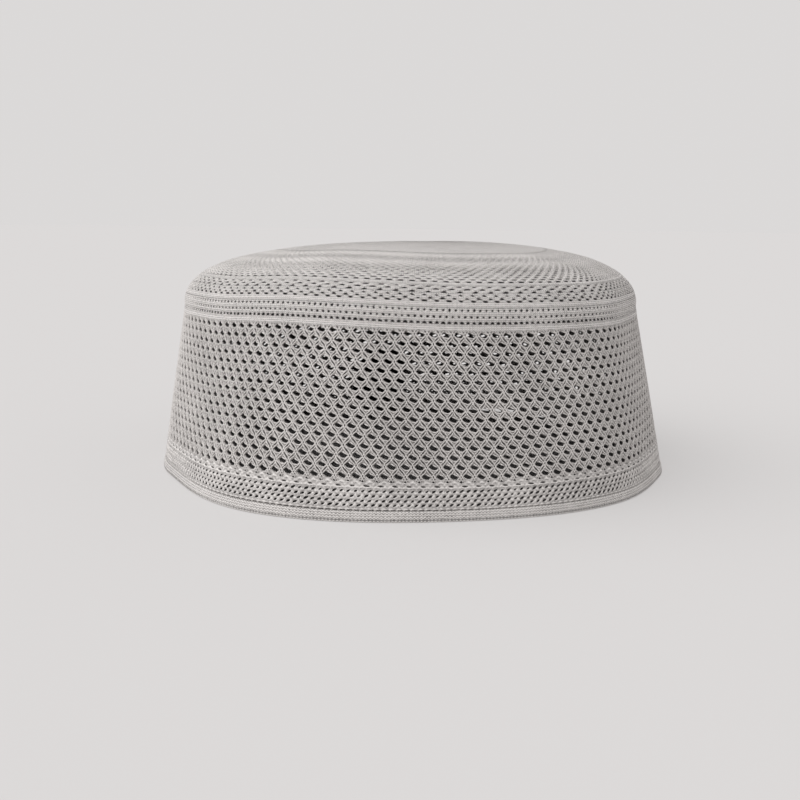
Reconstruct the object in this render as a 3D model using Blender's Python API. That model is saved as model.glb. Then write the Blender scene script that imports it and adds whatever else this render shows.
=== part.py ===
"""A knitted prayer cap: domed crown, open net side wall, doubled hem and a plain tag inside.

Metres, +Z up. The cap stands on its rim at z = 0, round the Z axis, with its front towards -Y.
"""

import math

import bpy

# Driving dimensions
rim_diameter = 0.1834
crown_diameter = 0.1644
cap_height = 0.0781
crown_joint_height = 0.0564
hem_height = 0.0037
knit_thickness = 0.0016
hem_thickness = 0.0024
hem_proud = 0.0003
seam_gap = 0.0003

# The tag sewn inside the rear wall
label_width = 0.0245
label_height = 0.0270
label_low_height = 0.0175
label_thickness = 0.0008
label_azimuth = math.radians(190)

# The stretch of rim at the rear that stands clear of the floor
rear_lift = 0.0018
rear_lift_azimuth = math.radians(158)
rear_lift_reach = math.radians(34)

# How the wall leans in: 1 is a straight cone, more keeps the foot upright
wall_lean_power = 1.08

# The hem's edges are eased by this share of its thickness
hem_ease_share = 1 / 6

# How finely each piece is cut into faces
steps_round = 72
wall_rings = 10
label_columns = 7
label_rows = 6

# Share of the crown's radius and share of its rise above the joint, from the joint to the centre
CROWN_SECTION_COLUMNS = ("radius", "height")
CROWN_SECTIONS = (
    (1.000, 0.00),
    (1.001, 0.08),
    (0.997, 0.16),
    (0.984, 0.28),
    (0.960, 0.39),
    (0.922, 0.51),
    (0.865, 0.62),
    (0.790, 0.72),
    (0.680, 0.81),
    (0.540, 0.89),
    (0.370, 0.95),
    (0.190, 0.98),
    (0.070, 0.98),
)
CROWN_CENTRE_SHARE = 0.975

# The outline seen from above: a row at each swell and dent, going round from the rear. The azimuth
# is in degrees from the front towards +X, and the rest are shares of the radius, outwards if positive
PLAN_COLUMNS = ("azimuth", "at_rim", "at_crown")
PLAN = (
    (-180, -0.006, -0.006),
    (-135, -0.008, -0.008),
    (-92, -0.042, -0.016),
    (-62, 0.000, 0.007),
    (-28, 0.078, 0.014),
    (10, 0.028, 0.022),
    (41, 0.047, 0.034),
    (66, 0.012, -0.018),
    (92, -0.034, -0.033),
    (135, -0.008, -0.008),
    (180, -0.006, -0.006),
)

# How far the knitting rides up or down at each azimuth, as a share of the cap's height
RISE_COLUMNS = ("azimuth", "rise")
RISE = (
    (-180, 0.000),
    (-110, -0.018),
    (-52, 0.000),
    (-24, 0.017),
    (22, 0.000),
    (56, -0.001),
    (110, 0.021),
    (180, 0.000),
)
RISE_FULL_SHARE = 0.30

# The crown stands higher towards the rear: places are shares of the crown's radius
crown_swell_x_share = 0.08
crown_swell_y_share = 1.00
crown_swell_reach_share = 0.80
crown_swell_rise_share = 0.019

YARN_COLOUR = (0.56, 0.54, 0.52, 1.0)
TAG_COLOUR = (0.015, 0.015, 0.017, 1.0)

rim_radius = rim_diameter / 2
crown_radius = crown_diameter / 2
crown_rise = cap_height - crown_joint_height


def clear_scene():
    """Remove every object, so that the model is all there is."""
    for old in list(bpy.data.objects):
        bpy.data.objects.remove(old, do_unlink=True)


def fabric(name, colour, roughness):
    """A matt textile material."""
    material = bpy.data.materials.new(name)
    material.use_nodes = True
    shader = material.node_tree.nodes["Principled BSDF"]
    shader.inputs["Base Color"].default_value = colour
    shader.inputs["Roughness"].default_value = roughness
    shader.inputs["Metallic"].default_value = 0.0
    return material


def bell(distance, reach):
    """1 in the middle, easing to exactly 0 at the reach."""
    if abs(distance) >= reach:
        return 0.0
    return math.cos(math.pi / 2 * distance / reach) ** 2


def turn_between(azimuth, other):
    """The shorter turn between two azimuths."""
    return math.remainder(azimuth - other, 2 * math.pi)


def eased(table, column, azimuth):
    """A table's value at one azimuth, easing from row to row."""
    turn = math.degrees(turn_between(azimuth, 0.0))
    for before, after in zip(table, table[1:]):
        if before[0] <= turn <= after[0]:
            share = (turn - before[0]) / (after[0] - before[0])
            blend = (1 - math.cos(math.pi * share)) / 2
            return before[column] + (after[column] - before[column]) * blend
    return table[0][column]


def clamped(share):
    return min(max(share, 0.0), 1.0)


def outline(radius, height, azimuth):
    """Seen from above, where a point of the plain turned cap lies with its swells and dents."""
    climb = clamped(height / crown_joint_height)
    plan = eased(PLAN, 1, azimuth) * (1 - climb) + eased(PLAN, 2, azimuth) * climb
    r = radius * (1 + plan * clamped(radius / crown_radius))
    return r * math.sin(azimuth), -r * math.cos(azimuth)


def rim_middle():
    """The middle of the rim's width and of its length, which is where the origin goes."""
    azimuths = [2 * math.pi * step / steps_round for step in range(steps_round)]
    points = [outline(rim_radius, 0.0, azimuth) for azimuth in azimuths]
    across = [point[0] for point in points]
    along = [point[1] for point in points]
    return (min(across) + max(across)) / 2, (min(along) + max(along)) / 2


def placed(radius, height, azimuth):
    """Where a point of the plain turned cap lies once its swells, dents and lift are in it."""
    x, y = outline(radius, height, azimuth)
    climb = clamped(height / crown_joint_height)
    rise_share = clamped(height / (RISE_FULL_SHARE * cap_height)) * clamped(radius / crown_radius)
    rise = cap_height * rise_share * eased(RISE, 1, azimuth)
    lift = rear_lift * (1 - climb) * bell(turn_between(azimuth, rear_lift_azimuth), rear_lift_reach)

    from_swell = math.hypot(x - crown_swell_x_share * crown_radius, y - crown_swell_y_share * crown_radius)
    swell = crown_swell_rise_share * cap_height * bell(from_swell, crown_swell_reach_share * crown_radius)
    above_joint = clamped((height - crown_joint_height) / crown_rise)
    return (x - middle_x, y - middle_y, height + rise + lift + swell * above_joint)


def wall_radius(height):
    """The side wall's outer radius at a height."""
    share = clamped(height / crown_joint_height)
    return rim_radius + (crown_radius - rim_radius) * share ** wall_lean_power


def inset(section, distance):
    """The section moved inwards, square to itself."""
    moved = []
    last = len(section) - 1
    for index, (radius, height) in enumerate(section):
        before = section[max(index - 1, 0)]
        after = section[min(index + 1, last)]
        along_r = after[0] - before[0]
        along_z = after[1] - before[1]
        length = math.hypot(along_r, along_z)
        moved.append((radius - distance * along_z / length, height + distance * along_r / length))
    return moved


def linked_object(name, vertices, faces, material):
    """A smooth shaded mesh object with its material, in the scene."""
    mesh = bpy.data.meshes.new(name)
    mesh.from_pydata(vertices, [], faces)
    mesh.materials.append(material)
    mesh.validate()
    mesh.shade_smooth()
    mesh.set_sharp_from_angle(angle=math.radians(40))
    piece = bpy.data.objects.new(name, mesh)
    bpy.context.scene.collection.objects.link(piece)
    return piece


def ring_vertices(section):
    """One ring of points for each point of the section."""
    azimuths = [2 * math.pi * step / steps_round for step in range(steps_round)]
    return [placed(radius, height, azimuth) for radius, height in section for azimuth in azimuths]


def band_faces(lower, upper):
    """The faces between two rings, where upper is further along the outer side."""
    faces = []
    for step in range(steps_round):
        after = (step + 1) % steps_round
        a = lower * steps_round
        b = upper * steps_round
        faces.append((a + step, a + after, b + after, b + step))
    return faces


def turned_loop(name, outer, inner, material):
    """A closed band: its outer section goes up and its inner section comes down again."""
    section = outer + inner[::-1]
    faces = []
    for ring in range(len(section)):
        faces += band_faces(ring, (ring + 1) % len(section))
    return linked_object(name, ring_vertices(section), faces, material)


def turned_dome(name, outer, centre_height, thickness, material):
    """A hollow dome: the outer and inner skins, each closed by a fan at the centre."""
    inner = inset(outer, thickness)
    section = outer + inner
    vertices = ring_vertices(section)
    vertices.append(placed(0.0, centre_height, 0.0))
    vertices.append(placed(0.0, centre_height - thickness, 0.0))
    outer_pole = len(vertices) - 2
    inner_pole = len(vertices) - 1

    count = len(outer)
    faces = []
    for ring in range(count - 1):
        faces += band_faces(ring, ring + 1)
        faces += band_faces(count + ring + 1, count + ring)
    faces += band_faces(count, 0)
    last_outer = (count - 1) * steps_round
    last_inner = (2 * count - 1) * steps_round
    for step in range(steps_round):
        after = (step + 1) % steps_round
        faces.append((last_outer + step, last_outer + after, outer_pole))
        faces.append((last_inner + after, last_inner + step, inner_pole))
    return linked_object(name, vertices, faces, material)


def make_hem(material):
    """The doubled rim, a little proud of the wall, with eased edges."""
    ease = hem_thickness * hem_ease_share
    outer = []
    inner = []
    for height, eased_by in ((0.0, ease), (ease, 0.0), (hem_height - ease, 0.0), (hem_height, ease)):
        face = wall_radius(height) + hem_proud
        outer.append((face - eased_by, height))
        inner.append((face - hem_thickness + eased_by, height))
    return turned_loop("hem", outer, inner, material)


def make_side_wall(material):
    """The net wall from the hem to the crown joint."""
    low = hem_height + seam_gap
    high = crown_joint_height - seam_gap / 2
    outer = []
    inner = []
    for ring in range(wall_rings):
        height = low + (high - low) * ring / (wall_rings - 1)
        outer.append((wall_radius(height), height))
        inner.append((wall_radius(height) - knit_thickness, height))
    return turned_loop("side_wall", outer, inner, material)


def make_crown(material):
    """The domed top, its rounded shoulder and the upright band under it."""
    outer = []
    for radius_share, height_share in CROWN_SECTIONS:
        height = crown_joint_height + seam_gap / 2 + (crown_rise - seam_gap / 2) * height_share
        outer.append((crown_radius * radius_share, height))
    centre_height = crown_joint_height + crown_rise * CROWN_CENTRE_SHARE
    return turned_dome("crown", outer, centre_height, knit_thickness, material)


def make_label(material):
    """The tag against the inner face of the rear wall, standing on the hem, one top corner low."""
    foot = hem_height + seam_gap
    vertices = []
    for side in (0, 1):
        standoff = knit_thickness + seam_gap + side * label_thickness
        for row in range(label_rows):
            for column in range(label_columns):
                across = column / (label_columns - 1)
                top = label_height + (label_low_height - label_height) * max(2 * across - 1, 0.0)
                height = foot + top * row / (label_rows - 1)
                radius = wall_radius(height) - standoff
                azimuth = label_azimuth + (across - 0.5) * label_width / rim_radius
                vertices.append(placed(radius, height, azimuth))

    def index(side, row, column):
        return (side * label_rows + row) * label_columns + column

    faces = []
    for row in range(label_rows - 1):
        for column in range(label_columns - 1):
            quad = [(row, column), (row, column + 1), (row + 1, column + 1), (row + 1, column)]
            faces.append([index(0, *corner) for corner in quad])
            faces.append([index(1, *corner) for corner in reversed(quad)])
    for row in range(label_rows - 1):
        for column, turn in ((0, 1), (label_columns - 1, -1)):
            edge = [index(0, row, column), index(0, row + 1, column)]
            edge += [index(1, row + 1, column), index(1, row, column)]
            faces.append(edge[::turn])
    for column in range(label_columns - 1):
        for row, turn in ((0, -1), (label_rows - 1, 1)):
            edge = [index(0, row, column), index(0, row, column + 1)]
            edge += [index(1, row, column + 1), index(1, row, column)]
            faces.append(edge[::turn])
    return linked_object("label", vertices, faces, material)


middle_x, middle_y = rim_middle()


def main():
    clear_scene()
    yarn = fabric("knit_yarn", YARN_COLOUR, 0.85)
    close_yarn = fabric("close_knit_yarn", YARN_COLOUR, 0.80)
    hem_yarn = fabric("hem_yarn", YARN_COLOUR, 0.80)
    tag = fabric("tag_cloth", TAG_COLOUR, 0.60)
    make_hem(hem_yarn)
    make_side_wall(yarn)
    make_crown(close_yarn)
    make_label(tag)


main()
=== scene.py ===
import math

import bpy
import numpy as np
from mathutils import Matrix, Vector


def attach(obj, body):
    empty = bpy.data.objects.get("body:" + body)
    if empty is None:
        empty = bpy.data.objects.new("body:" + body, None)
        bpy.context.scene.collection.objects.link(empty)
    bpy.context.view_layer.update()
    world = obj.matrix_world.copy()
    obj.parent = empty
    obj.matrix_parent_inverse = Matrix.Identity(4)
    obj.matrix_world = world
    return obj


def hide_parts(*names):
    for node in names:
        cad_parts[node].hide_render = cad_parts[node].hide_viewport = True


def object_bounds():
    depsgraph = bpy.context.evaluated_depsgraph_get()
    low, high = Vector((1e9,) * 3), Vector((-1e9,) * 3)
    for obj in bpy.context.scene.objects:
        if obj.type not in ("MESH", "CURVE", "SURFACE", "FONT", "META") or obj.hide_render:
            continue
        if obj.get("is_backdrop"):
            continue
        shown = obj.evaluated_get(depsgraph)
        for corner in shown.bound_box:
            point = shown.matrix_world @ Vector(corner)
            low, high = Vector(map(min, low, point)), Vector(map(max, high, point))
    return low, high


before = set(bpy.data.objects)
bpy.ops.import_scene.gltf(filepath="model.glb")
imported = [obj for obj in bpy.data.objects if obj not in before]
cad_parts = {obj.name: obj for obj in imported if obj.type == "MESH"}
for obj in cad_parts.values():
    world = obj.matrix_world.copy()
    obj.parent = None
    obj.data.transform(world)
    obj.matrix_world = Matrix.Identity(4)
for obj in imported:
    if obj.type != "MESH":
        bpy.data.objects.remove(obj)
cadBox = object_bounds()

# The cap's form, in metres, as the solids have it. Azimuth 0 is the front (-Y), and it grows towards +X.
# A run is the distance along the cap's section, from the rim up the wall and over the crown.
capForm = {
    "rimRadius": 0.0917,
    "crownRadius": 0.0822,
    "capHeight": 0.0781,
    "jointHeight": 0.0564,
    "leanPower": 1.08,
    "riseFullShare": 0.30,
    "rearLift": 0.0018,
    "rearLiftAzimuth": math.radians(158.0),
    "rearLiftReach": math.radians(34.0),
    "swellShares": (0.08, 1.00),
    "swellReach": 0.80,
    "swellRise": 0.019,
}
# azimuth in degrees, share of the radius added at the rim, share added at the crown
planTable = np.array([
    (-180, -0.006, -0.006), (-135, -0.008, -0.008), (-92, -0.042, -0.016), (-62, 0.000, 0.007),
    (-28, 0.078, 0.014), (10, 0.028, 0.022), (41, 0.047, 0.034), (66, 0.012, -0.018),
    (92, -0.034, -0.033), (135, -0.008, -0.008), (180, -0.006, -0.006),
])
# azimuth in degrees, share of the height added
riseTable = np.array([
    (-180, 0.0), (-110, -0.018), (-52, 0.0), (-24, 0.017), (22, 0.0), (56, -0.001), (110, 0.021), (180, 0.0),
])
# share of the crown's radius, share of the crown's own height
crownTable = np.array([
    (1.000, 0.00), (1.001, 0.08), (0.997, 0.16), (0.984, 0.28), (0.960, 0.39), (0.922, 0.51), (0.865, 0.62),
    (0.790, 0.72), (0.680, 0.81), (0.540, 0.89), (0.370, 0.95), (0.190, 0.98), (0.070, 0.98), (0.0, 0.975),
])


def easedTable(table, column, degrees):
    # Eases from row to row of a table by half a cosine wave.
    places = table[:, 0]
    row = np.clip(np.searchsorted(places, degrees, side="right") - 1, 0, len(places) - 2)
    share = (degrees - places[row]) / (places[row + 1] - places[row])
    low, high = table[row, column], table[row + 1, column]
    return low + (high - low) * (1 - np.cos(np.pi * share)) / 2


def wrapped(angle):
    return np.arctan2(np.sin(angle), np.cos(angle))


def bell(distance, reach):
    # The square of a cosine, one at the middle and nothing from reach on.
    inside = np.clip(np.abs(distance) / reach, 0, 1)
    return np.cos(np.pi / 2 * inside) ** 2


def smoothLine(points, steps):
    # A Catmull-Rom curve through the points, with that many steps between two of them.
    ends = np.vstack([2 * points[0] - points[1], points, 2 * points[-1] - points[-2]])
    before, here, after, beyond = ends[:-3], ends[1:-2], ends[2:-1], ends[3:]
    t = np.linspace(0, 1, steps, endpoint=False)[None, :, None]
    before, here, after, beyond = (a[:, None, :] for a in (before, here, after, beyond))
    curve = 0.5 * (2 * here + (after - before) * t + (2 * before - 5 * here + 4 * after - beyond) * t ** 2
                   + (3 * here - before - 3 * after + beyond) * t ** 3)
    return np.vstack([curve.reshape(-1, 2), points[-1:]])


def sectionLine():
    # Radius and height along the section: the leaning wall, then the crown.
    height = np.linspace(0, capForm["jointHeight"], 81)
    lean = (height / capForm["jointHeight"]) ** capForm["leanPower"]
    radius = capForm["rimRadius"] + (capForm["crownRadius"] - capForm["rimRadius"]) * lean
    crownHeight = capForm["capHeight"] - capForm["jointHeight"]
    crown = np.column_stack([crownTable[:, 0] * capForm["crownRadius"],
                             capForm["jointHeight"] + crownHeight * crownTable[:, 1]])
    line = np.vstack([np.column_stack([radius, height])[:-1], smoothLine(crown, 12)])
    run = np.append(0, np.cumsum(np.hypot(*np.diff(line, axis=0).T)))
    return run, line[:, 0], line[:, 1]


sectionRun, sectionRadius, sectionHeight = sectionLine()


def planPoint(radius, height, azimuth):
    # The section's radius, made wider or narrower by the plan's share at that azimuth.
    degrees = np.degrees(wrapped(azimuth))
    climb = np.clip(height / capForm["jointHeight"], 0, 1)
    share = easedTable(planTable, 1, degrees) * (1 - climb) + easedTable(planTable, 2, degrees) * climb
    wide = radius * (1 + share * np.clip(radius / capForm["crownRadius"], 0, 1))
    return wide * np.sin(azimuth), -wide * np.cos(azimuth)


def rimMiddle():
    azimuth = np.radians(np.arange(0, 360, 5.0))
    x, y = planPoint(np.full(72, capForm["rimRadius"]), np.zeros(72), azimuth)
    return (x.min() + x.max()) / 2, (y.min() + y.max()) / 2


middleX, middleY = rimMiddle()


def capPoint(azimuth, run):
    # The place on the cap's outer face at an azimuth and a run, with its rise, rear lift and swell added.
    radius = np.interp(run, sectionRun, sectionRadius)
    height = np.interp(run, sectionRun, sectionHeight)
    x, y = planPoint(radius, height, azimuth)
    crownRadius, capHeight, joint = capForm["crownRadius"], capForm["capHeight"], capForm["jointHeight"]
    climb = np.clip(height / joint, 0, 1)
    full = np.clip(height / (capForm["riseFullShare"] * capHeight), 0, 1) * np.clip(radius / crownRadius, 0, 1)
    rise = capHeight * full * easedTable(riseTable, 1, np.degrees(wrapped(azimuth)))
    turn = wrapped(azimuth - capForm["rearLiftAzimuth"])
    lift = capForm["rearLift"] * (1 - climb) * bell(turn, capForm["rearLiftReach"])
    swellX, swellY = capForm["swellShares"]
    distance = np.hypot(x - swellX * crownRadius, y - swellY * crownRadius)
    over = np.clip((height - joint) / (capHeight - joint), 0, 1)
    swell = capForm["swellRise"] * capHeight * bell(distance, capForm["swellReach"] * crownRadius) * over
    return np.stack([x - middleX, y - middleY, height + rise + lift + swell], -1)


def unit(vectors):
    return vectors / np.maximum(np.linalg.norm(vectors, axis=-1, keepdims=True), 1e-12)


def capFrame(azimuth, run):
    # The place, and the directions along the round, up the section and outwards there.
    azimuth, run = np.broadcast_arrays(np.asarray(azimuth, float), np.asarray(run, float))
    turnStep, runStep = 0.004, 0.0004
    flat = 1e-7 * np.stack([np.cos(azimuth), np.sin(azimuth), 0 * azimuth], -1)
    along = unit(capPoint(azimuth + turnStep, run) - capPoint(azimuth - turnStep, run) + flat)
    up = unit(capPoint(azimuth, run + runStep) - capPoint(azimuth, run - runStep))
    out = unit(np.cross(along, up))
    return capPoint(azimuth, run), along, up, out


def onCap(azimuth, run, depth):
    # A point that lies depth inside the outer face.
    place, along, up, out = capFrame(azimuth, run)
    return place - out * np.asarray(depth)[..., None]


turnColumns = 288


def stitchUv(azimuth, run):
    # Stitches round the cap and millimetres of run.
    return np.stack([azimuth * turnColumns / (2 * np.pi) + 0 * run, run * 1000.0 + 0 * azimuth], -1)


def makePiece(name, points, faces, uv, materials, kind=None, turn=turnColumns):
    # One object from arrays of points, four-cornered faces (a last corner of -1 makes three) and a map of each point.
    three = faces[:, 3] < 0
    sizes = np.where(three, 3, 4)
    corners = faces.reshape(-1)[faces.reshape(-1) >= 0]
    mesh = bpy.data.meshes.new(name)
    mesh.vertices.add(len(points))
    mesh.vertices.foreach_set("co", points.astype(np.float32).ravel())
    mesh.loops.add(len(corners))
    mesh.loops.foreach_set("vertex_index", corners.astype(np.int32))
    mesh.polygons.add(len(faces))
    mesh.polygons.foreach_set("loop_start", (np.cumsum(sizes) - sizes).astype(np.int32))
    kind = np.zeros(len(faces), int) if kind is None else kind
    mesh.polygons.foreach_set("use_smooth", kind != 1)
    # Faces of kind 2 take the second material: the painted-shade yarn on the walls of eyelets, or the unlit floor under
    # the cap.
    mesh.polygons.foreach_set("material_index", (kind == 2).astype(np.int32))
    mesh.update(calc_edges=True)
    # A face that crosses the map's seam has its low corners carried one turn on.
    across = uv[faces, 0]
    across = np.where(across.max(1, keepdims=True) - across > turn / 2, across + turn, across)
    cornerUv = np.stack([across, uv[faces, 1]], -1)[faces >= 0]
    layer = mesh.uv_layers.new(name="stitches")
    layer.data.foreach_set("uv", cornerUv.astype(np.float32).ravel())
    piece = bpy.data.objects.new(name, mesh)
    bpy.context.scene.collection.objects.link(piece)
    for material in materials:
        mesh.materials.append(material)
    return piece


def joined(parts):
    # Several (points, faces, uv, kind) into one. A face's kind is 0 smooth, 1 flat or 2 the wall of an eyelet, which
    # takes the piece's second material, the painted-shade yarn.
    points, faces, uv, flat, shift = [], [], [], [], 0
    for p, f, u, s in parts:
        points.append(p)
        faces.append(np.where(f < 0, -1, f + shift))
        uv.append(u)
        flat.append(s)
        shift += len(p)
    return np.vstack(points), np.vstack(faces), np.vstack(uv), np.concatenate(flat)


def tidied(points, faces, uv, flat):
    # Leaves out the points that no face uses.
    used = np.unique(faces[faces >= 0])
    renumber = np.full(len(points) + 1, -1)
    renumber[used] = np.arange(len(used))
    return points[used], renumber[faces], uv[used], flat


def yarnTubes(paths, outward, uvPaths, radius, sides=4, flatten=1.0, turned=0.0):
    # Closed tubes of yarn along paths (strands, samples, 3): each ring stands across the path's own direction.
    strands, samples = paths.shape[:2]
    direction = unit(np.gradient(paths, axis=1))
    side = unit(np.cross(direction, outward))
    lift = unit(np.cross(side, direction))
    angle = 2 * np.pi * np.arange(sides) / sides + turned
    radius = np.broadcast_to(np.asarray(radius), (strands, samples))[:, :, None, None]
    ring = (np.cos(angle)[None, None, :, None] * side[:, :, None, :]
            + flatten * np.sin(angle)[None, None, :, None] * lift[:, :, None, :])
    points = (paths[:, :, None, :] + radius * ring).reshape(-1, 3)
    uv = np.repeat(uvPaths[:, :, None, :], sides, axis=2)
    uv = (uv + 0.25 * np.stack([np.cos(angle), 0 * angle], -1)[None, None]).reshape(-1, 2)
    index = np.arange(strands * samples * sides).reshape(strands, samples, sides)
    following = np.roll(index, -1, axis=2)
    walls = np.stack([index[:, :-1], index[:, 1:], following[:, 1:], following[:, :-1]], -1).reshape(-1, 4)
    caps = np.vstack([index[:, 0], index[:, -1][:, ::-1]])
    if sides == 3:
        caps = np.column_stack([caps, np.full(len(caps), -1)])
    faces = np.vstack([walls, caps])
    return points, faces, uv, np.zeros(len(faces), int)


def ringBand(runs, depths, count, thickness, turnShift=0.0, closeStart=True, closeEnd=True):
    # A plain closed ring of cloth through the runs given, with that many columns. depths lowers its outer face.
    runs, depths = np.asarray(runs), np.asarray(depths)
    azimuth = 2 * np.pi * (np.arange(count) + turnShift) / count
    grid = np.stack([depths, np.full(len(runs), thickness)])
    azimuthGrid = np.broadcast_to(azimuth, (2, len(runs), count))
    runGrid = np.broadcast_to(runs[None, :, None], azimuthGrid.shape)
    depthGrid = np.broadcast_to(grid[:, :, None], azimuthGrid.shape)
    points = onCap(azimuthGrid, runGrid, depthGrid).reshape(-1, 3)
    uv = stitchUv(azimuthGrid, runGrid).reshape(-1, 2)
    index = np.arange(2 * len(runs) * count).reshape(2, len(runs), count)
    following = np.roll(index, -1, axis=2)
    outer = np.stack([index[0, :-1], following[0, :-1], following[0, 1:], index[0, 1:]], -1).reshape(-1, 4)
    inner = np.stack([index[1, :-1], index[1, 1:], following[1, 1:], following[1, :-1]], -1).reshape(-1, 4)
    parts, flat = [outer, inner], [np.zeros(len(outer) + len(inner), int)]
    if closeStart:
        parts.append(np.stack([index[1, 0], following[1, 0], following[0, 0], index[0, 0]], -1))
        flat.append(np.ones(count, int))
    if closeEnd:
        parts.append(np.stack([index[0, -1], following[0, -1], following[1, -1], index[1, -1]], -1))
        flat.append(np.ones(count, int))
    return points, np.vstack(parts), uv, np.concatenate(flat)


# An eyelet's inner end: its share of the outer size, how far it climbs as a share of the row, and its unevenness.
eyeletInside = {"share": 0.55, "climb": 0.27, "stray": 0.10}
eyeletRandom = np.random.default_rng(3)
# The border of an eyelet's cell, in half cells from its middle, in order round it.
cellBorder = np.array([(-1, -1), (0, -1), (1, -1), (1, 0), (1, 1), (0, 1), (-1, 1), (-1, 0)])


def eyeletBand(rows, count, thickness, firstAzimuth, face=0.0, inside=eyeletInside):
    # A closed ring of cloth cut through by rows of eyelets. A row is a dictionary with its low, middle and high
    # run, its shift in half columns, and its hole's half width and half height in metres, slant, and dip. A row
    # can give its hole's eight corners instead. face is the depth of the ring's outer face.
    column = 2 * np.pi / count
    levels = [rows[0]["low"]]
    for row in rows:
        levels += [row["middle"], row["high"]]
    levels = np.array(levels)
    halfColumns = np.arange(2 * count)
    azimuthGrid = np.broadcast_to(firstAzimuth + halfColumns * column / 2, (2, len(levels), 2 * count))
    runGrid = np.broadcast_to(levels[None, :, None], azimuthGrid.shape)
    depthGrid = np.broadcast_to(np.array([face, thickness])[:, None, None], azimuthGrid.shape)
    lattice = onCap(azimuthGrid, runGrid, depthGrid)
    latticeUv = stitchUv(azimuthGrid, runGrid)
    latticeIndex = np.arange(lattice[..., 0].size).reshape(2, len(levels), 2 * count)
    points, uv, faces, kinds = [lattice.reshape(-1, 3)], [latticeUv.reshape(-1, 2)], [], []
    base = lattice[..., 0].size
    cells = np.arange(count)
    for number, row in enumerate(rows):
        levelHere = 2 * number + 1
        shift = row["shift"]
        middleHalf = 2 * cells + shift
        azimuthMiddle = firstAzimuth + middleHalf * column / 2
        radiusHere = np.interp(row["middle"], sectionRun, sectionRadius)
        halfWide = radiusHere * column / 2
        # Each corner of the hole lies towards a corner of the cell, on an ellipse that leans by the slant.
        toward = np.stack([cellBorder[:, 0] * halfWide,
                           np.where(cellBorder[:, 1] < 0, row["low"] - row["middle"],
                                    np.where(cellBorder[:, 1] > 0, row["high"] - row["middle"], 0))], -1)
        lean = math.radians(row["slant"])
        longWay = toward @ np.array([math.cos(lean), math.sin(lean)])
        shortWay = toward @ np.array([-math.sin(lean), math.cos(lean)])
        reach = 1 / np.hypot(longWay / max(row["wide"], 1e-6), shortWay / max(row["tall"], 1e-6))
        # Each corner, and each hole as a whole, is a little larger or smaller.
        grow = eyeletRandom.normal(1, inside["stray"], (count, 8)) * eyeletRandom.normal(1, inside["stray"], (count, 1))
        grow = np.clip(grow, 0.7, 1.25)
        if "hole" in row:
            hole = np.array(row["hole"])[None] * grow[..., None]
        else:
            hole = toward[None] * np.minimum(reach * grow, 0.93)[..., None]
        holeAzimuth = azimuthMiddle[:, None] + hole[..., 0] / radiusHere
        holeRun = row["middle"] + hole[..., 1]
        outerHole = onCap(holeAzimuth, holeRun, np.full(holeAzimuth.shape, face + row["dip"]))
        # Inside, the hole is narrower and lies higher.
        innerAzimuth = azimuthMiddle[:, None] + inside["share"] * hole[..., 0] / radiusHere
        climb = inside["climb"] * (row["high"] - row["low"])
        innerRun = row["middle"] + climb + inside["share"] * hole[..., 1]
        innerHole = onCap(innerAzimuth, innerRun, np.full(holeAzimuth.shape, thickness))
        points += [outerHole.reshape(-1, 3), innerHole.reshape(-1, 3)]
        uv += [stitchUv(holeAzimuth, holeRun).reshape(-1, 2)] * 2
        size = count * 8
        outerIndex = base + np.arange(size).reshape(count, 8)
        innerIndex = outerIndex + size
        base += 2 * size
        borderHalf = (middleHalf[:, None] + cellBorder[None, :, 0]) % (2 * count)
        borderLevel = np.broadcast_to(levelHere + cellBorder[None, :, 1], borderHalf.shape)
        outerBorder = latticeIndex[0, borderLevel, borderHalf]
        innerBorder = latticeIndex[1, borderLevel, borderHalf]
        nextOuter, nextInner = np.roll(outerBorder, -1, 1), np.roll(innerBorder, -1, 1)
        nextOuterHole, nextInnerHole = np.roll(outerIndex, -1, 1), np.roll(innerIndex, -1, 1)
        faces += [np.stack([outerBorder, nextOuter, nextOuterHole, outerIndex], -1).reshape(-1, 4),
                  np.stack([innerBorder, innerIndex, nextInnerHole, nextInner], -1).reshape(-1, 4),
                  np.stack([outerIndex, nextOuterHole, nextInnerHole, innerIndex], -1).reshape(-1, 4)]
        # The hole walls are kind 2, and so take the painted-shade yarn.
        kinds += [np.zeros(2 * size, int), np.full(size, 2)]
    low, high = latticeIndex[:, 0], latticeIndex[:, -1]
    faces.append(np.stack([low[1], np.roll(low[1], -1), np.roll(low[0], -1), low[0]], -1))
    faces.append(np.stack([high[0], np.roll(high[0], -1), np.roll(high[1], -1), high[1]], -1))
    kinds.append(np.ones(4 * count, int))
    return tidied(np.vstack(points), np.vstack(faces), np.vstack(uv), np.concatenate(kinds))


def evenRows(middles, low, high, shiftFirst, wide, tall, slant, dip):
    # Rows about the runs given, each up to half way to the next, staggered by half a column.
    middles = np.asarray(middles, float)
    edges = np.concatenate([[low], (middles[:-1] + middles[1:]) / 2, [high]])
    wide, tall, slant, dip = (np.broadcast_to(np.asarray(v, float), middles.shape) for v in (wide, tall, slant, dip))
    return [dict(low=edges[n], middle=middles[n], high=edges[n + 1], shift=(shiftFirst + n) % 2, wide=wide[n],
                 tall=tall[n], slant=slant[n], dip=dip[n]) for n in range(len(middles))]


# Materials. Each group gives values only, and the shader stays in the material itself.
def mathNode(tree, operation, first, second=None, clamp=False):
    node = tree.nodes.new("ShaderNodeMath")
    node.operation = operation
    node.use_clamp = clamp
    for socket, value in zip(node.inputs, (first, second)):
        if value is None:
            continue
        if isinstance(value, (int, float)):
            socket.default_value = value
        else:
            tree.links.new(value, socket)
    return node.outputs[0]


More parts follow.
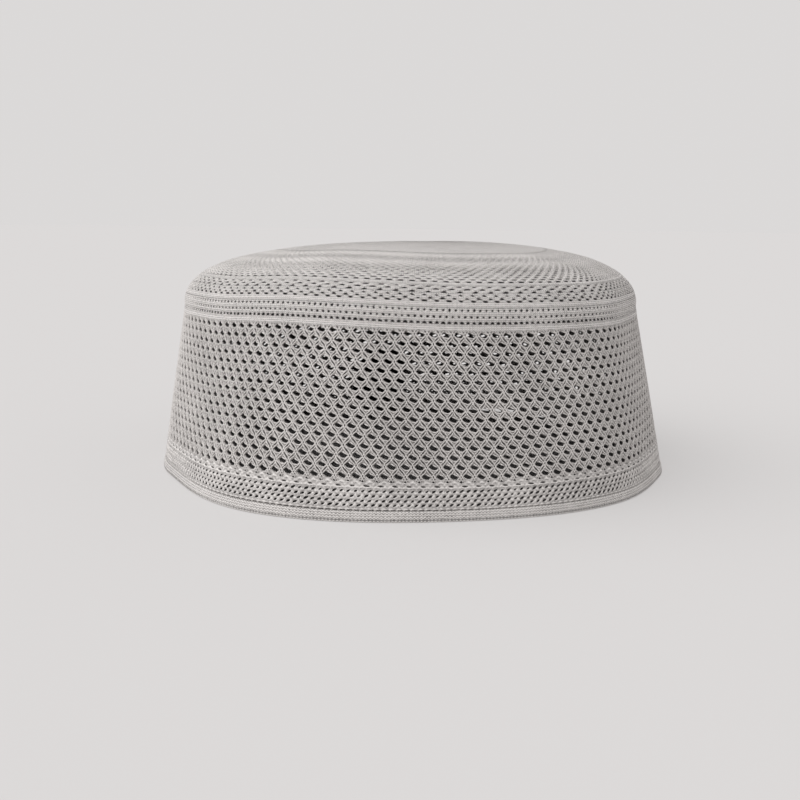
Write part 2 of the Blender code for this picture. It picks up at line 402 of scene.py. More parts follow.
def stitchGroup():
    # V stitches from the stitch map: two legs to a stitch, whose ribs climb towards its sides.
    group = bpy.data.node_groups.new("stitchRelief", "ShaderNodeTree")
    group.interface.new_socket("Map", in_out="INPUT", socket_type="NodeSocketVector")
    for name, value in (("Across", 1.0), ("Up", 1.0), ("Climb", 0.8)):
        group.interface.new_socket(name, in_out="INPUT", socket_type="NodeSocketFloat").default_value = value
    group.interface.new_socket("Height", in_out="OUTPUT", socket_type="NodeSocketFloat")
    source, target = group.nodes.new("NodeGroupInput"), group.nodes.new("NodeGroupOutput")
    apart = group.nodes.new("ShaderNodeSeparateXYZ")
    group.links.new(source.outputs["Map"], apart.inputs[0])
    across = mathNode(group, "MULTIPLY", apart.outputs[0], source.outputs["Across"])
    up = mathNode(group, "MULTIPLY", apart.outputs[1], source.outputs["Up"])
    fromMiddle = mathNode(group, "ABSOLUTE", mathNode(group, "SUBTRACT", mathNode(group, "FRACT", across), 0.5))
    climbed = mathNode(group, "MULTIPLY", fromMiddle, source.outputs["Climb"])
    wave = mathNode(group, "COSINE", mathNode(group, "MULTIPLY", mathNode(group, "ADD", up, climbed), 2 * math.pi))
    ribs = mathNode(group, "ADD", mathNode(group, "MULTIPLY", wave, 0.4), 0.4)
    side = mathNode(group, "SINE", mathNode(group, "MULTIPLY", mathNode(group, "FRACT", across), math.pi))
    height = mathNode(group, "ADD", ribs, mathNode(group, "MULTIPLY", side, 0.2))
    group.links.new(height, target.inputs["Height"])
    return group


def yarnSpeckAndStitchShadeGroup():
    # Light and dark specks of spun yarn, from object coordinates, with painted shade from the stitch relief: darker in
    # the grooves between the legs, lighter on the ribs.
    group = bpy.data.node_groups.new("yarnSpecksAndStitchShade", "ShaderNodeTree")
    group.interface.new_socket("Dark", in_out="INPUT", socket_type="NodeSocketColor")
    group.interface.new_socket("Light", in_out="INPUT", socket_type="NodeSocketColor")
    group.interface.new_socket("Stitch", in_out="INPUT", socket_type="NodeSocketFloat")
    group.interface.new_socket("Stitch Shade Share", in_out="INPUT", socket_type="NodeSocketFloat")
    group.interface.new_socket("Color", in_out="OUTPUT", socket_type="NodeSocketColor")
    group.interface.new_socket("Fibre", in_out="OUTPUT", socket_type="NodeSocketFloat")
    source, target = group.nodes.new("NodeGroupInput"), group.nodes.new("NodeGroupOutput")
    place = group.nodes.new("ShaderNodeTexCoord")
    fine, broad = group.nodes.new("ShaderNodeTexNoise"), group.nodes.new("ShaderNodeTexNoise")
    for node, scale, detail in ((fine, 1500.0, 2.0), (broad, 60.0, 2.0)):
        node.inputs["Scale"].default_value = scale
        node.inputs["Detail"].default_value = detail
        group.links.new(place.outputs["Object"], node.inputs["Vector"])
    share = mathNode(group, "ADD", mathNode(group, "MULTIPLY", fine.outputs["Fac"], 0.8),
                     mathNode(group, "MULTIPLY", broad.outputs["Fac"], 0.3))
    # Painted shade from the stitch relief: the grooves between the legs darken the colour and the ribs lighten it.
    stitchShade = mathNode(group, "MULTIPLY", mathNode(group, "SUBTRACT", source.outputs["Stitch"], 0.45),
                      source.outputs["Stitch Shade Share"])
    ramp = group.nodes.new("ShaderNodeMapRange")
    ramp.inputs["From Min"].default_value = 0.10
    ramp.inputs["From Max"].default_value = 0.80
    group.links.new(mathNode(group, "ADD", share, stitchShade), ramp.inputs["Value"])
    mix = group.nodes.new("ShaderNodeMix")
    mix.data_type = "RGBA"
    group.links.new(ramp.outputs["Result"], mix.inputs["Factor"])
    group.links.new(source.outputs["Dark"], mix.inputs["A"])
    group.links.new(source.outputs["Light"], mix.inputs["B"])
    group.links.new(mix.outputs["Result"], target.inputs["Color"])
    group.links.new(fine.outputs["Fac"], target.inputs["Fibre"])
    return group


# The net's yarn, which its cloth, its strands and the gaps between its plies all share.
netSizes = {
    "rows": 16,
    "lastRowRun": 0.01268,
    "rowPitch": 0.002708,
    "columns": 144,
    "holeAzimuth": math.radians(3.04),
    "straightness": 0.50,
    "startRow": 0.40,
    "endRow": 16.45,
    "samplesPerRow": 4,
    "topRadius": 0.00021,
    "topApart": 0.00031,
    "topSpread": 0.00013,
    "topDot": 0.00006,
    "topDepth": 0.00022,
    "underRadius": 0.00019,
    "underApart": 0.00028,
    "underSpread": 0.00010,
    "underDot": 0.00005,
    "underDepth": 0.00034,
    "jitter": .00005,
    "pieces": 4,
    "clothFace": 0.00042,
    "clothThickness": 0.00120,
    "clothStart": 0.01190,
    "clothEnd": 0.0544,
    "gapWidth": 0.050,
}


def strandGapShadeGroup():
    # A mask of the gaps between two plies; the net's cloth darkens its colour there as painted shade and lowers its
    # bump. Columns = stitches / 2 less the first hole's, and rows = (the last row's run less the run) / pitch. A
    # strand's middle lies where columns plus or minus (rows - straightness * sin(2 pi rows) / 2 pi) / 2 is a whole
    # number and a half.
    n = netSizes
    group = bpy.data.node_groups.new("strandGapShadeAndRelief", "ShaderNodeTree")
    group.interface.new_socket("Map", in_out="INPUT", socket_type="NodeSocketVector")
    group.interface.new_socket("Gap", in_out="OUTPUT", socket_type="NodeSocketFloat")
    source, target = group.nodes.new("NodeGroupInput"), group.nodes.new("NodeGroupOutput")
    apart = group.nodes.new("ShaderNodeSeparateXYZ")
    group.links.new(source.outputs["Map"], apart.inputs[0])
    columns = mathNode(group, "SUBTRACT", mathNode(group, "MULTIPLY", apart.outputs[0], 0.5),
                       n["holeAzimuth"] * n["columns"] / (2 * math.pi))
    rows = mathNode(group, "DIVIDE", mathNode(group, "SUBTRACT", n["lastRowRun"] * 1000, apart.outputs[1]),
                    n["rowPitch"] * 1000)
    turn = mathNode(group, "MULTIPLY", rows, 2 * math.pi)
    path = mathNode(group, "SUBTRACT", rows, mathNode(group, "MULTIPLY", mathNode(group, "SINE", turn),
                                                      n["straightness"] / (2 * math.pi)))
    wave = mathNode(group, "MULTIPLY", mathNode(group, "COSINE", turn), 0.5)
    between = mathNode(group, "SUBTRACT", 0.5, wave)
    node = mathNode(group, "POWER", mathNode(group, "ADD", 0.5, wave), 8.0)
    gapShade = []
    for lean, sharpness in ((-0.5, 1.5), (0.5, 4.0)):
        line = mathNode(group, "ADD", columns, mathNode(group, "MULTIPLY", path, lean))
        away = mathNode(group, "ABSOLUTE", mathNode(group, "SUBTRACT", mathNode(group, "FRACT", line), 0.5))
        inside = mathNode(group, "SUBTRACT", 1.6, mathNode(group, "DIVIDE", away, n["gapWidth"]), clamp=True)
        strength = mathNode(group, "MAXIMUM", mathNode(group, "POWER", between, sharpness), node)
        gapShade.append(mathNode(group, "MULTIPLY", inside, strength))
    group.links.new(mathNode(group, "MAXIMUM", *gapShade), target.inputs["Gap"])
    return group


stitchRelief, yarnSpecksAndStitchShade, strandGapShadeAndRelief = stitchGroup(), yarnSpeckAndStitchShadeGroup(), strandGapShadeGroup()


def yarnMaterial(name, dark, light, across, up, climb, relief, stitchShadeShare, roughness=0.85, sheen=0.15, gapShade=None):
    material = bpy.data.materials.new(name)
    material.use_nodes = True
    tree = material.node_tree
    shader = tree.nodes["Principled BSDF"]
    shader.inputs["Roughness"].default_value = roughness
    shader.inputs["Specular IOR Level"].default_value = 0.25
    shader.inputs["Sheen Weight"].default_value = sheen
    shader.inputs["Sheen Roughness"].default_value = 0.5
    specks = tree.nodes.new("ShaderNodeGroup")
    specks.node_tree = yarnSpecksAndStitchShade
    specks.inputs["Dark"].default_value = (*dark, 1)
    specks.inputs["Light"].default_value = (*light, 1)
    tree.links.new(specks.outputs["Color"], shader.inputs["Base Color"])
    stitches = tree.nodes.new("ShaderNodeGroup")
    stitches.node_tree = stitchRelief
    layer = tree.nodes.new("ShaderNodeUVMap")
    layer.uv_map = "stitches"
    tree.links.new(layer.outputs["UV"], stitches.inputs["Map"])
    stitches.inputs["Across"].default_value = across
    stitches.inputs["Up"].default_value = up
    stitches.inputs["Climb"].default_value = climb
    # The stitch relief also paints shade into the colour, dark in its grooves and light on its ribs.
    tree.links.new(stitches.outputs["Height"], specks.inputs["Stitch"])
    specks.inputs["Stitch Shade Share"].default_value = stitchShadeShare
    height = mathNode(tree, "ADD", stitches.outputs["Height"],
                      mathNode(tree, "MULTIPLY", specks.outputs["Fibre"], 0.5))
    # Painted shade in the gaps between plies: the colour is mixed towards near-black there, and the bump is lowered.
    if gapShade:
        gapShadeNode = tree.nodes.new("ShaderNodeGroup")
        gapShadeNode.node_tree = strandGapShadeAndRelief
        tree.links.new(layer.outputs["UV"], gapShadeNode.inputs["Map"])
        darken = tree.nodes.new("ShaderNodeMix")
        darken.data_type = "RGBA"
        tree.links.new(gapShadeNode.outputs["Gap"], darken.inputs["Factor"])
        tree.links.new(specks.outputs["Color"], darken.inputs["A"])
        darken.inputs["B"].default_value = (*gapShade, 1)
        tree.links.new(darken.outputs["Result"], shader.inputs["Base Color"])
        height = mathNode(tree, "SUBTRACT", height, gapShadeNode.outputs["Gap"])
    bump = tree.nodes.new("ShaderNodeBump")
    bump.inputs["Strength"].default_value = 1.0
    bump.inputs["Distance"].default_value = relief
    tree.links.new(height, bump.inputs["Height"])
    tree.links.new(bump.outputs["Normal"], shader.inputs["Normal"])
    return material


yarnColors = {
    "dark": (0.17, 0.158, 0.152),
    "light": (0.74, 0.713, 0.693),
    "closeDark": (0.24, 0.225, 0.217),
    "closeLight": (0.90, 0.868, 0.845),
    "strandDark": (0.30, 0.283, 0.273),
    "strandLight": (0.74, 0.712, 0.692),
    # painted shade: the cloth under the strands, which also forms the net's inside, is a darker copy of the yarn
    "clothShadedDark": (0.09, 0.082, 0.078),
    "clothShadedLight": (0.55, 0.524, 0.505),
    # painted shade: the near-black yarn of eyelet walls, also the colour of the gaps between plies
    "paintedShadeDark": (0.022, 0.019, 0.018),
    "paintedShadeLight": (0.09, 0.083, 0.080),
    "tagDark": (0.004, 0.0035, 0.004),
    "tagLight": (0.012, 0.010, 0.011),
}
# Stitches across a column, stitches in a millimetre, their climb, their relief in metres and their share of the colour,
# which paints shade into the grooves between the stitches and light onto their ribs.
closeYarn = yarnMaterial("closeYarn", yarnColors["closeDark"], yarnColors["closeLight"], 2.5, 1.67, 1.0, 0.00030, 0.85)
netYarn = yarnMaterial("netYarn", yarnColors["strandDark"], yarnColors["strandLight"], 1.0, 1.3, 0.6, 0.00010, 0.25)
# The net's cloth lies under the strands and forms the net's inside; its darker colours are painted shade.
shadedNetCloth = yarnMaterial("shadedNetCloth", yarnColors["clothShadedDark"], yarnColors["clothShadedLight"], 2.5, 1.67, 1.0, 0.00020, 0.70,
                        gapShade=yarnColors["paintedShadeDark"])
hemYarn = yarnMaterial("hemYarn", yarnColors["dark"], yarnColors["light"], 2.0, 1.35, 1.0, 0.00025, 0.70)
bandYarn = yarnMaterial("bandYarn", yarnColors["dark"], yarnColors["light"], 1.0, 0.8, 1.0, 0.00015, 0.40)
# A near-black copy of the yarn for the walls of eyelets and holes: painted shade, the darkness deep in a hole laid into
# the colour.
paintedShadeYarn = yarnMaterial("paintedShadeYarn", yarnColors["paintedShadeDark"], yarnColors["paintedShadeLight"], 2.0, 1.5, 1.6, 0.00010, 0.30)
tagCloth = yarnMaterial("tagCloth", yarnColors["tagDark"], yarnColors["tagLight"], 4.0, 4.0, 0.0, 0.00008, 0.3,
                        roughness=0.7, sheen=0.0)
print("materials made")


# Net wall: a cloth with slanted holes, and the yarn that runs over it from node to node, in two slanted families of
# double strands.
def netStrands(azimuths, lean, family, random):
    # Strands of two plies from the top row to the last. t counts rows downwards; the azimuth moves half a column in
    # each row, mostly between the nodes: azimuth = start + half column * (t - straightness * sin(2 pi t) / 2 pi).
    n = netSizes
    halfColumn = math.pi / n["columns"]
    samples = int((n["endRow"] - n["startRow"]) * n["samplesPerRow"]) + 1
    t = np.linspace(n["startRow"], n["endRow"], samples)
    wave = n["straightness"] * np.sin(2 * np.pi * t) / (2 * np.pi)
    azimuth = azimuths[:, None] + lean * halfColumn * (t - wave - n["rows"])[None, :]
    run = np.broadcast_to(n["lastRowRun"] + (n["rows"] - t) * n["rowPitch"], azimuth.shape)
    place, along, up, out = capFrame(azimuth, run)
    middle = place - out * n[family + "Depth"]
    direction = unit(np.gradient(middle, axis=1))
    side = unit(np.cross(direction, out))
    # The plies spread between the nodes, and a little at each node.
    wide = (n[family + "Apart"] + n[family + "Spread"] * (1 - np.cos(2 * np.pi * t)) / 2
            + n[family + "Dot"] * np.maximum(np.cos(2 * np.pi * t), 0) ** 6)
    uv = stitchUv(azimuth, run)
    tubes = []
    for ply in (-1, 1):
        stray = random.normal(0, n["jitter"], azimuth.shape)
        tubes.append(yarnTubes(middle + side * (ply * wide[None, :] + stray)[..., None], out, uv,
                               n[family + "Radius"], 4, 1.0, math.pi / 4))
    return tubes


# Short bits of yarn at each hole: steps across, up and in from the hole's middle in metres, then their radius and
# their number of sides.
netBits = {
    "sling": (((-0.00135, -0.00010, 0.00050), (-0.00085, -0.00062, 0.00038), (-0.00025, -0.00090, 0.00034),
               (0.00030, -0.00098, 0.00034), (0.00090, -0.00084, 0.00038), (0.00140, -0.00020, 0.00050)), 0.00018, 3),
    "head": (((-0.00010, 0.00098, 0.00050), (0.00032, 0.00058, 0.00034), (0.00080, 0.00040, 0.00034),
              (0.00130, 0.00022, 0.00050)), 0.00024, 3),
}
# The corners of a net hole, in metres from its middle, from its lower left on against the clock.
netHole = ((-0.00062, -0.00040), (0.00006, -0.00062), (0.00074, -0.00082), (0.00128, -0.00018),
           (0.00060, 0.00034), (-0.00002, 0.00050), (-0.00064, 0.00080), (-0.00126, 0.00014))


def makeNetCloth():
    n = netSizes
    middles = n["lastRowRun"] + n["rowPitch"] * np.arange(n["rows"])
    rows = evenRows(middles, n["clothStart"], n["clothEnd"], 0, 0, 0, 0, 0.00010)
    for row in rows:
        row["hole"] = netHole
    points, faces, uv, kinds = eyeletBand(rows, n["columns"], n["clothThickness"], n["holeAzimuth"], n["clothFace"],
                                          {"share": 0.95, "climb": 0.0, "stray": 0.06})
    return makePiece("net_cloth", points, faces, uv, [shadedNetCloth, paintedShadeYarn], kinds)


def netBit(azimuths, runs, name, random):
    line, radius, sides = netBits[name]
    line = np.array(line)
    around = np.interp(runs, sectionRun, sectionRadius)
    stray = random.normal(0, netSizes["jitter"], (2, len(runs), 1))
    azimuth = azimuths[:, None] + (line[None, :, 0] + stray[0]) / around[:, None]
    run = runs[:, None] + line[None, :, 1] + stray[1]
    place, along, up, out = capFrame(azimuth, run)
    middle = place - out * line[None, :, 2:3]
    return yarnTubes(middle, out, stitchUv(azimuth, run), radius, sides, 1.0, math.pi / 4)


def makeNet():
    columns = netSizes["columns"]
    column = 2 * math.pi / columns
    perPiece = columns // netSizes["pieces"]
    random = np.random.default_rng(7)
    pieces = []
    for number in range(netSizes["pieces"]):
        chosen = np.arange(perPiece) + number * perPiece
        nodes = netSizes["holeAzimuth"] + (chosen + 0.5) * column
        parts = netStrands(nodes, 1, "top", random) + netStrands(nodes, -1, "under", random)
        row = np.repeat(np.arange(1, netSizes["rows"] + 1), perPiece)
        halfShift = ((netSizes["rows"] - row) % 2) / 2
        hole = netSizes["holeAzimuth"] + (np.tile(chosen, netSizes["rows"]) + halfShift) * column
        runs = netSizes["lastRowRun"] + (netSizes["rows"] - row) * netSizes["rowPitch"]
        parts += [netBit(hole, runs, name, random) for name in netBits]
        points, faces, uv, flat = joined(parts)
        pieces.append(makePiece("net_%d" % (number + 1), points, faces, uv, [netYarn], flat))
    return pieces


netPieces = makeNet() + [makeNetCloth()]
print("net made")

# Low band: four rows of slanted eyelets, a faint row, and a row of short slits under the net.
bandSizes = {
    "thickness": 0.0016,
    "crownThickness": 0.0016,
    "start": 0.00352,
    "lowRowsStart": 0.00407,
    "lowRows": (0.00469, 0.00594, 0.00719, 0.00858),
    "lowRowsEnd": 0.00925,
    "faintRow": 0.00996,
    "faintEnd": 0.01070,
    "slitRow": 0.01125,
    "end": 0.01190,
}
# Half width, half height and slant in degrees of each kind of eyelet, and how far its rim dips.
bandEyelets = {"low": (0.00072, 0.00030, 30), "faint": (0.00100, 0.00018, -6), "slit": (0.00085, 0.00026, -18)}
eyeletDip = 0.0004


def makeLowBand():
    b = bandSizes
    parts = [ringBand([b["start"], b["lowRowsStart"]], [0.0001, 0.0], 288, b["thickness"])]
    rows = evenRows(b["lowRows"], b["lowRowsStart"], b["lowRowsEnd"], 0, *bandEyelets["low"], eyeletDip)
    parts.append(eyeletBand(rows, 288, b["thickness"], 0.0))
    faint = evenRows([b["faintRow"]], b["lowRowsEnd"], b["faintEnd"], 0, *bandEyelets["faint"], eyeletDip)
    parts.append(eyeletBand(faint, 144, b["thickness"], 0.0))
    slits = evenRows([b["slitRow"]], b["faintEnd"], b["end"], 1, *bandEyelets["slit"], eyeletDip)
    parts.append(eyeletBand(slits, 144, b["thickness"], netSizes["holeAzimuth"]))
    points, faces, uv, flat = joined(parts)
    return makePiece("low_band", points, faces, uv, [bandYarn, paintedShadeYarn], flat)


lowBand = makeLowBand()

# Selvedge at the top of the net.
selvedgeSizes = {"start": 0.0544, "end": 0.0561}


def makeSelvedge():
    s = selvedgeSizes
    runs = np.linspace(s["start"], s["end"], 5)
    points, faces, uv, flat = ringBand(runs, [0.0002, 0.0, 0.0, 0.0, 0.0001], 288, bandSizes["thickness"])
    return makePiece("selvedge", points, faces, uv, [closeYarn, paintedShadeYarn], flat)


selvedge = makeSelvedge()

# Crown: three rows of small eyelets, a plain band, two groups of slits, then rows of eyelets to the middle.
crownSizes = {
    "start": 0.0561,
    "smallRows": (0.0568, 0.0585, 0.06055),
    "smallEnd": 0.0613,
    "plainEnd": 0.06285,
    "groupA": (0.06333, 0.06425, 0.06544),
    "groupAEnd": 0.06605,
    "groupB": (0.06664, 0.06774, 0.06863),
    "groupBEnd": 0.0692,
    "gapEnd": 0.07035,
    "groupCStart": 0.07106,
    "groupCPitch": 0.00127,
    "groupCRows": 22,
    "middleGap": 0.0015,
    "middleStep": 0.0012,
}
# Half widths, half heights and slants of the crown's eyelets, a value for each row where there are three.
crownEyelets = {
    "small": ((0.00058, 0.00036, 0.00032), (0.00042, 0.00032, 0.00042), (0, 0, -30)),
    "groupA": ((0.00082, 0.00070, 0.00062), (0.00044, 0.00040, 0.00030), (-26, -22, -22)),
    "groupB": (0.00095, 0.00046, 26),
}


# The lowest row's holes have a flat foot and a peak.
lowHole = ((-0.00066, -0.00026), (0.0, -0.00030), (0.00066, -0.00026), (0.00048, 0.00004), (0.00022, 0.00030),
           (0.0, 0.00038), (-0.00022, 0.00030), (-0.00048, 0.00004))


def makeCrownEdge():
    c, thick = crownSizes, bandSizes["crownThickness"]
    small = evenRows(c["smallRows"], c["start"], c["smallEnd"], 0, *crownEyelets["small"], 0.00035)
    small[0]["hole"] = lowHole
    parts = [eyeletBand(small, 288, thick, 0.0)]
    parts.append(ringBand(np.linspace(c["smallEnd"], c["plainEnd"], 4), np.zeros(4), 288, thick))
    groupA = evenRows(c["groupA"], c["plainEnd"], c["groupAEnd"], 0, *crownEyelets["groupA"], eyeletDip)
    parts.append(eyeletBand(groupA, 144, thick, 0.0))
    groupB = evenRows(c["groupB"], c["groupAEnd"], c["groupBEnd"], 0, *crownEyelets["groupB"], eyeletDip)
    parts.append(eyeletBand(groupB, 108, thick, 0.0))
    parts.append(ringBand(np.linspace(c["groupBEnd"], c["gapEnd"], 3), np.zeros(3), 288, thick))
    points, faces, uv, flat = joined(parts)
    return makePiece("crown_edge", points, faces, uv, [closeYarn, paintedShadeYarn], flat)


def makeCrownTop():
    c, thick = crownSizes, bandSizes["crownThickness"]
    middles = c["groupCStart"] + c["groupCPitch"] * np.arange(c["groupCRows"])
    share = np.arange(c["groupCRows"]) / c["groupCRows"]
    end = middles[-1] + c["groupCPitch"] / 2
    # The last rows' eyelets grow small, up to the plain middle.
    fade = 1 - 0.55 * share ** 4
    wide, tall = (0.00090 - 0.00042 * share) * fade, (0.00052 - 0.00014 * share) * fade
    rows = evenRows(middles, c["gapEnd"], end, 0, wide, tall, 18, 0.0004 - 0.0001 * share)
    parts = [eyeletBand(rows, 144, thick, 0.0)]
    lastRun = sectionRun[-1] - c["middleGap"]
    runs = np.append(np.arange(end, lastRun - c["middleStep"] / 2, c["middleStep"]), lastRun)
    parts.append(ringBand(runs, np.zeros(len(runs)), 144, thick, closeEnd=False))
    points, faces, uv, flat = joined(parts)
    # A fan closes the middle, outside and inside.
    ringCount = 2 * len(runs) * 144
    base = len(points) - ringCount
    outerRing = base + (len(runs) - 1) * 144 + np.arange(144)
    innerRing = outerRing + len(runs) * 144
    middle = np.array([[-middleX, -middleY, points[outerRing, 2].mean()],
                       [-middleX, -middleY, points[innerRing, 2].mean()]])
    top, under = len(points), len(points) + 1
    fans = [np.stack([outerRing, np.roll(outerRing, -1), np.full(144, top), np.full(144, -1)], -1),
            np.stack([np.roll(innerRing, -1), innerRing, np.full(144, under), np.full(144, -1)], -1)]
    points = np.vstack([points, middle])
    uv = np.vstack([uv, uv[[outerRing[72], innerRing[72]]]])
    faces = np.vstack([faces] + fans)
    flat = np.append(flat, np.zeros(288, int))
    return makePiece("crown_top", points, faces, uv, [closeYarn, paintedShadeYarn], flat)


crownEdge, crownTop = makeCrownEdge(), makeCrownTop()
print("crown made")

# Hem: a round-edged ring of doubled knit.
hemSizes = {"top": 0.00318, "thickness": 0.0024, "proud": 0.0003, "round": 0.0006, "columns": 576, "stitches": 288,
            "stitchRadius": 0.00026}


def makeHem():
    h = hemSizes
    # The section goes up the outer face and down the inner one, and its corners are quarter circles.
    quarter = np.linspace(0, math.pi / 2, 4)
    r, low, high = h["round"], 0.0, h["top"]
    outer, inner = -h["proud"], h["thickness"] - h["proud"]
    side = np.linspace(low + r, high - r, 7)[1:-1]
    section = np.vstack([
        np.stack([np.full(5, outer), side], -1),
        np.stack([outer + r - r * np.cos(quarter), high - r + r * np.sin(quarter)], -1),
        np.stack([inner - r + r * np.sin(quarter), high - r + r * np.cos(quarter)], -1),
        np.stack([np.full(5, inner), side[::-1]], -1),
        np.stack([inner - r + r * np.cos(quarter), low + r - r * np.sin(quarter)], -1),
        np.stack([outer + r - r * np.sin(quarter), low + r - r * np.cos(quarter)], -1),
    ])
    azimuth = 2 * np.pi * np.arange(h["columns"]) / h["columns"]
    azimuthGrid = np.broadcast_to(azimuth[None, :], (len(section), h["columns"]))
    runGrid = np.broadcast_to(section[:, 1:2], azimuthGrid.shape)
    place, along, up, out = capFrame(azimuthGrid, np.maximum(runGrid, 0.0005))
    level = capPoint(azimuthGrid, 0 * runGrid)
    flatOut = unit(out * np.array([1, 1, 0]))
    depth = np.broadcast_to(section[:, 0:1], azimuthGrid.shape)
    points = place - flatOut * depth[..., None]
    points[..., 2] = level[..., 2] + runGrid
    roundSection = np.cumsum(np.hypot(*np.diff(section, axis=0, prepend=section[:1]).T))
    uv = stitchUv(azimuthGrid, roundSection[:, None] + 0 * runGrid)
    index = np.arange(len(section) * h["columns"]).reshape(len(section), h["columns"])
    nextRow, nextColumn = np.roll(index, -1, 0), np.roll(index, -1, 1)
    faces = np.stack([index, nextColumn, np.roll(nextRow, -1, 1), nextRow], -1).reshape(-1, 4)
    ring = (points.reshape(-1, 3), faces, uv.reshape(-1, 2), np.zeros(len(faces), int))
    # Short stitches cross the groove above the hem.
    middle = 2 * np.pi * (np.arange(h["stitches"]) + 0.3) / h["stitches"]
    across = np.array([-0.00035, -0.0001, 0.0001, 0.00035]) / capForm["rimRadius"]
    upward = h["top"] + np.array([-0.0004, 0.0, 0.0003, 0.0007])
    azimuth, run = np.broadcast_arrays(middle[:, None] + across[None, :], upward[None, :])
    place, along, up, out = capFrame(azimuth, run)
    stitches = yarnTubes(place - out * 0.0004, out, stitchUv(azimuth, run), h["stitchRadius"], 4)
    points, faces, uv, kind = joined([ring, stitches])
    return makePiece("hem_knit", points, faces, uv, [hemYarn], kind)


hemPiece = makeHem()

# Label: a plain tag inside the rear wall, its corner turned low.
labelSizes = {
    "azimuth": math.radians(190.0),
    "width": 0.0245,
    "foot": 0.0040,
    "height": 0.0270,
    "lowHeight": 0.0175,
    "thickness": 0.0008,
    "standoff": 0.0019,
    "columns": 40,
    "rows": 44,
}


def makeLabel():
    s = labelSizes
    across = np.linspace(-0.5, 0.5, s["columns"] + 1)
    upward = np.linspace(0, 1, s["rows"] + 1)
    radius = capForm["rimRadius"] - s["standoff"]
    azimuth = s["azimuth"] + across * s["width"] / radius
    ease = (1 - np.cos(np.pi * np.clip(across / 0.5, 0, 1))) / 2
    tall = s["height"] + (s["lowHeight"] - s["height"]) * ease
    azimuthGrid = np.broadcast_to(azimuth[None, :], (len(upward), len(across)))
    runGrid = s["foot"] + upward[:, None] * tall[None, :]
    outerFace = onCap(azimuthGrid, runGrid, np.full(runGrid.shape, s["standoff"]))
    innerFace = onCap(azimuthGrid, runGrid, np.full(runGrid.shape, s["standoff"] + s["thickness"]))
    points = np.concatenate([outerFace.reshape(-1, 3), innerFace.reshape(-1, 3)])
    uv = np.concatenate([stitchUv(azimuthGrid, runGrid).reshape(-1, 2)] * 2)
    index = np.arange(2 * outerFace[..., 0].size).reshape(2, len(upward), len(across))
    o, i = index
    faces = [np.stack([o[:-1, :-1], o[:-1, 1:], o[1:, 1:], o[1:, :-1]], -1).reshape(-1, 4),
             np.stack([i[:-1, :-1], i[1:, :-1], i[1:, 1:], i[:-1, 1:]], -1).reshape(-1, 4)]
    faces.append(np.stack([i[0, :-1], i[0, 1:], o[0, 1:], o[0, :-1]], -1))
    faces.append(np.stack([o[-1, :-1], o[-1, 1:], i[-1, 1:], i[-1, :-1]], -1))
    faces.append(np.stack([o[:-1, 0], o[1:, 0], i[1:, 0], i[:-1, 0]], -1))
    faces.append(np.stack([o[:-1, -1], i[:-1, -1], i[1:, -1], o[1:, -1]], -1))
    broad = len(faces[0]) + len(faces[1])
    faces = np.vstack(faces)
    flat = (np.arange(len(faces)) >= broad).astype(int)
    area = float(s["width"] * tall.mean())
    return makePiece("tag", points, faces, uv, [tagCloth], flat), area


labelPiece, labelArea = makeLabel()
print("hem and label made")

# What each piece rides on and stands for.
for piece in netPieces + [lowBand, selvedge]:
    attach(piece, "root")
    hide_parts("side_wall")
for piece in (crownEdge, crownTop):
    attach(piece, "root")
    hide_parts("crown")
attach(hemPiece, "root")
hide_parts("hem")
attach(labelPiece, "root")
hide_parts("label")

# Stage: a wide, pale, faintly lit floor under an even sky of the same brightness, so that no horizon shows. The
# part of the floor under the cap isn't lit.
stageSizes = {"radius": 12.0, "corners": 96, "underShare": 0.985}
stageColors = {"paper": (0.315, 0.309, 0.307), "glow": (0.705, 0.690, 0.686), "glowStrength": 0.50}


def stageMaterial(name, glow):
    material = bpy.data.materials.new(name)
    material.use_nodes = True
    shader = material.node_tree.nodes["Principled BSDF"]
    shader.inputs["Base Color"].default_value = (*stageColors["paper"], 1)
    shader.inputs["Roughness"].default_value = 0.9
    shader.inputs["Specular IOR Level"].default_value = 0.0
    shader.inputs["Emission Color"].default_value = (*stageColors["glow"], 1)
    shader.inputs["Emission Strength"].default_value = glow
    return material


def makeStage():
    count = stageSizes["corners"]
    angle = 2 * np.pi * np.arange(count) / count
    x, y = planPoint(np.full(count, capForm["rimRadius"]), np.zeros(count), angle)
    under = np.stack([x - middleX, y - middleY, 0 * angle], -1) * stageSizes["underShare"]
    edge = np.stack([np.sin(angle), -np.cos(angle), 0 * angle], -1) * stageSizes["radius"]
    points = np.vstack([edge, under, [[0.0, 0.0, 0.0]]])
    outer, inner = np.arange(count), count + np.arange(count)
    wide = np.stack([outer, np.roll(outer, -1), np.roll(inner, -1), inner], -1)
    fan = np.stack([inner, np.roll(inner, -1), np.full(count, 2 * count), np.full(count, -1)], -1)
    kind = np.repeat([0, 2], count)
    materials = [stageMaterial("stagePaper", stageColors["glowStrength"]), stageMaterial("stageShade", 0.0)]
    return makePiece("studio_floor", points, np.vstack([wide, fan]), points[:, :2], materials, kind, turn=1e9)


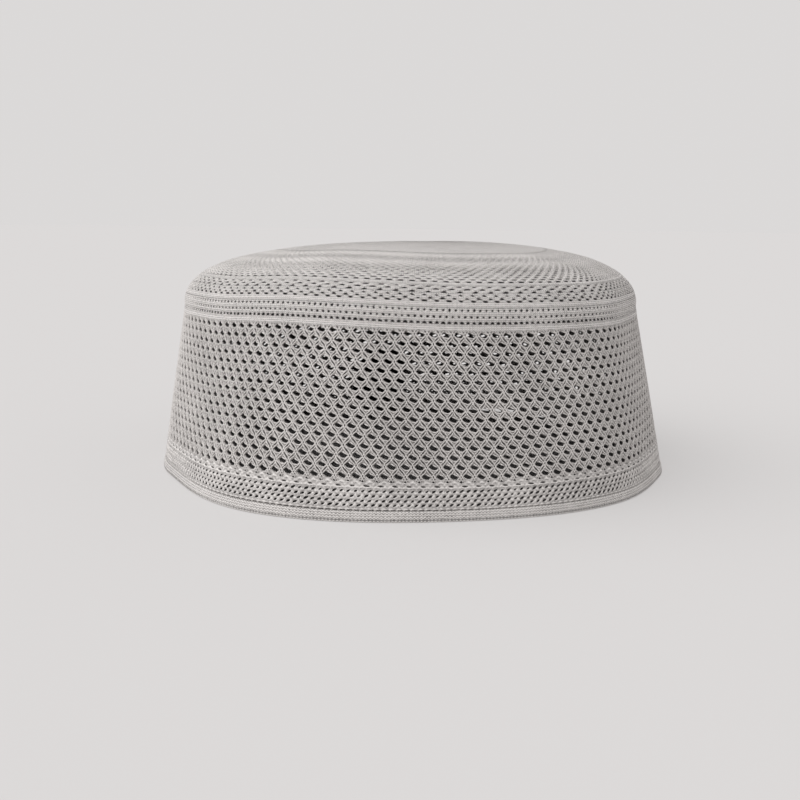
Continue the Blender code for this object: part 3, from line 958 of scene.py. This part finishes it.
makeStage()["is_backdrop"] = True

# Light: an even sky and a soft sun from the upper left in front.
lights = {
    "sky": (0.710, 0.695, 0.690),
    "skyStrength": 1.0,
    "sunToward": (-0.68, -0.30, 0.67),
    "sunAngle": math.radians(95.0),
    "sunStrength": 2.1,
}
world = bpy.data.worlds.new("studio")
bpy.context.scene.world = world
world.use_nodes = True
world.node_tree.nodes["Background"].inputs["Color"].default_value = (*lights["sky"], 1)
world.node_tree.nodes["Background"].inputs["Strength"].default_value = lights["skyStrength"]


def softSun(name, toward, angle, strength):
    data = bpy.data.lights.new(name, "SUN")
    data.angle = angle
    data.energy = strength
    lamp = bpy.data.objects.new(name, data)
    bpy.context.scene.collection.objects.link(lamp)
    lamp.rotation_euler = (math.atan2(math.hypot(toward[0], toward[1]), toward[2]), 0,
                           math.atan2(toward[0], -toward[1]))
    return lamp


softSun("key", lights["sunToward"], lights["sunAngle"], lights["sunStrength"])

# Camera at the photograph's place.
cameraSizes = {
    "focalPixels": 1015.6, "framePixels": 800, "sensor": 36.0,
    "place": (0.0, -0.3729, 0.08495), "pitch": 0.1741, "yaw": 0.0124, "roll": 0.0111,
}


def makeCamera():
    c = cameraSizes
    data = bpy.data.cameras.new("camera")
    data.sensor_width = c["sensor"]
    data.sensor_fit = "HORIZONTAL"
    data.lens = c["focalPixels"] / c["framePixels"] * c["sensor"]
    data.clip_start = 0.01
    data.clip_end = 30.0
    camera = bpy.data.objects.new("camera", data)
    bpy.context.scene.collection.objects.link(camera)
    turn = (Matrix.Rotation(c["yaw"], 4, "Z") @ Matrix.Rotation(math.pi / 2 - c["pitch"], 4, "X")
            @ Matrix.Rotation(c["roll"], 4, "Z"))
    camera.matrix_world = Matrix.Translation(c["place"]) @ turn
    return camera


bpy.context.scene.camera = makeCamera()
bpy.context.scene.view_settings.view_transform = "Standard"
print("stage, light and camera made")

boxes = {"cad": cadBox, "visual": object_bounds()}
boxes = {name: [[float(value) for value in corner] for corner in box] for name, box in boxes.items()}
